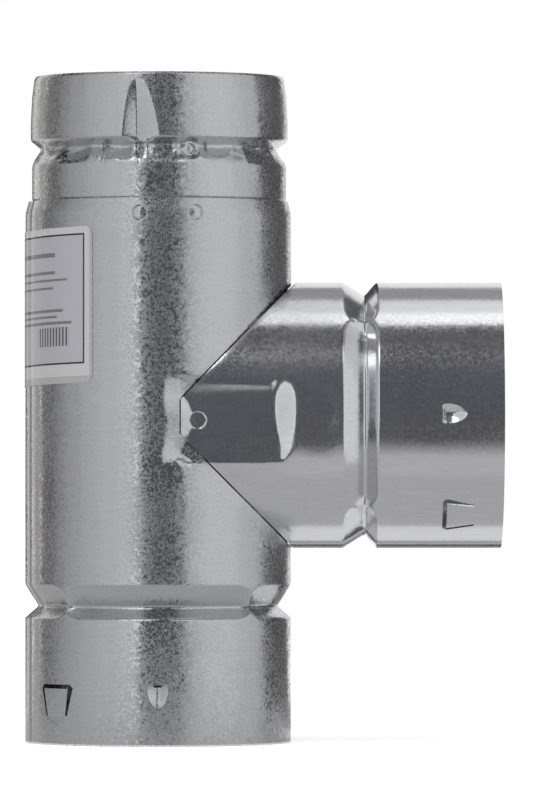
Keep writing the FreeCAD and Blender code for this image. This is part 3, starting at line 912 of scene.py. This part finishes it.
def level_card(name, left, right, front, back, height, strength):
    bm = bmesh.new()
    bmesh.ops.create_grid(bm, x_segments=1, y_segments=1, size=0.5)
    bmesh.ops.scale(bm, vec=(right - left, back - front, 1), verts=bm.verts[:])
    bmesh.ops.translate(bm, vec=((left + right) / 2, (front + back) / 2, height), verts=bm.verts[:])
    only_reflected(finished(bm, name, glowing(name, strength)))


def background_share(tree):
    """1 for camera, mirror and glass rays, 0 for the light that falls on things."""
    path = tree.nodes.new("ShaderNodeLightPath")
    seen = combined(tree, "MAXIMUM", path.outputs["Is Camera Ray"], path.outputs["Is Glossy Ray"])
    return combined(tree, "MAXIMUM", seen, path.outputs["Is Transmission Ray"])


def add_world():
    world = bpy.data.worlds.new("studio")
    world.use_nodes = True
    bpy.context.scene.world = world
    tree = world.node_tree
    tree.nodes.clear()
    level = ramped(tree, background_share(tree), 0, 1, 0.6, 1.0)
    back = added(tree, "ShaderNodeBackground", {"Strength": level, "Color": (1, 1, 1, 1)})
    out = tree.nodes.new("ShaderNodeOutputWorld")
    tree.links.new(back.outputs["Background"], out.inputs["Surface"])


def add_cards():
    wall = ((235, 1), (2200, 1), (2200, 2400))
    # Turns and strength of the cards that stand round the tee, from the left to the right
    standing = (
        (-180, -157, 0.05, WHITE), (-157, -139, 0.92, WHITE), (-139, -127, 0.39, WARM),
        (-127, -125, 1.3, WHITE), (-125, -122, 0.38, WARM), (-122, -101, 0.19, WHITE),
        (-101, -89, 0.34, WHITE), (-89, -70, 0.48, WHITE), (-70, -53, 0.60, WHITE),
        (-53, -34, 0.69, WHITE), (-34, -21, 0.80, WHITE), (-21, -16, 1.15, WHITE),
        (-16, 22, FRONT_DARK, COOL), (22, 35, 0.74, WHITE), (35, 72, 0.82, WHITE),
        (72, 101, 0.69, WHITE), (101, 151, 0.11, WHITE),
    )
    for low_turn, high_turn, strength, colour in standing:
        standing_card("card", low_turn, high_turn, wall, strength, colour)
    standing_card("high_dark", -125, -92, ((2150, 1300), (2150, 2380)), 0.03)
    standing_card("floor_near", 0, 360, ((44, 0.6), (236, 0.6)), 0.5)
    # Painted shade: a near-black ring on the floor under the run's mouth, seen only in the metal, stands in
    # for the shade that the tee's hollow casts there
    standing_card("painted_shade_under_run", 0, 360, ((1, 0.6), (44, 0.6)), 0.03)
    # Left, right, front, back, height and strength of the level cards under and over the branch
    for card in (
        (40, 160, -2200, -275, 1.4, FRONT_DARK), (40, 160, -275, -235, 1.4, 0.17),
        (40, 160, -235, -208, 1.4, 0.3), (40, 160, -208, -182, 1.4, 0.42),
        (40, 160, -182, -100, 1.0, 0.56), (40, 160, 10, 90, 1.0, 0.85),
        (40, 160, 90, 155, 1.0, 0.02), (40, 160, 155, 420, 1.0, 0.3),
        (-70, 900, -2250, -300, 2385, FRONT_DARK), (20, 900, -300, -235, 2380, 0.4),
        (20, 900, -235, 330, 2380, 1.5), (20, 900, 330, 1200, 2380, 1.0),
        (-900, 900, 1200, 3250, 2380, 0.36), (-5000, 5000, -5000, 3400, 2420, 0.34),
        (-1300, -270, -2190, -1200, 2370, 2.6), (620, 1500, -2190, -1200, 2370, 1.2),
    ):
        level_card("card", *card)


def add_floor():
    material, tree, shader = nodes_of("floor_white")
    shader.inputs["Base Color"].default_value = (0.86, 0.86, 0.86, 1)
    shader.inputs["Roughness"].default_value = 0.9
    shader.inputs["Specular IOR Level"].default_value = 0
    shader.inputs["Emission Color"].default_value = (1, 1, 1, 1)
    glow = combined(tree, "MULTIPLY", background_share(tree), 0.55)
    tree.links.new(glow, shader.inputs["Emission Strength"])
    bm = bmesh.new()
    bmesh.ops.create_grid(bm, x_segments=1, y_segments=1, size=9000)
    finished(bm, "floor", material)


def add_lamp():
    """A broad lamp overhead for the matt surfaces and the soft shadow."""
    lamp = bpy.data.lights.new("top_lamp", "AREA")
    lamp.energy = 9
    lamp.size = 0.9
    holder = bpy.data.objects.new("top_lamp", lamp)
    holder.location = LAMP_AT
    holder.rotation_euler = Vector(LAMP_FACING).to_track_quat("Z", "Y").to_euler()
    holder.visible_glossy = False
    bpy.context.scene.collection.objects.link(holder)


def add_camera():
    scene = bpy.context.scene
    scene.view_settings.view_transform = "Standard"
    lens = bpy.data.cameras.new("camera")
    lens.sensor_width = 36
    lens.lens = CAMERA_LENS
    lens.clip_end = 100
    camera = bpy.data.objects.new("camera", lens)
    camera.location = Vector(CAMERA_AT) * MM
    aim = Vector(CAMERA_AIM) * MM - camera.location
    camera.rotation_euler = aim.to_track_quat("-Z", "Y").to_euler()
    scene.collection.objects.link(camera)
    scene.camera = camera


# Tone, how much darker a fleck is, least and most roughness, tilt of the flecks, and the rolls' marks
spangled = galvanised("galvanised_spangled", (0.605, 0.608, 0.625), 0.08, 0.11, 0.44, 0.05, (0.8, 0.8, 8))
collar_zinc = galvanised("galvanised_collar", (0.61, 0.613, 0.63), 0.08, 0.11, 0.44, 0.05, (8, 8, 0.6))
plain_zinc = galvanised("galvanised_smooth", (0.70, 0.702, 0.73), 0.04, 0.12, 0.24, 0.013, (0.8, 8, 8))
worn(make_run(spangled), "outer_body")
worn(make_branch(plain_zinc), "branch_boot")
worn(make_lap(plain_zinc))
worn(make_collar(collar_zinc), "top_collar")
worn(make_label(printed_paper()), "label")
foil = bare_aluminium()
for name in ("liner_body", "liner_branch"):
    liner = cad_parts[name]
    liner.data.materials.clear()
    liner.data.materials.append(foil)

add_world()
add_cards()
add_floor()
add_lamp()
add_camera()
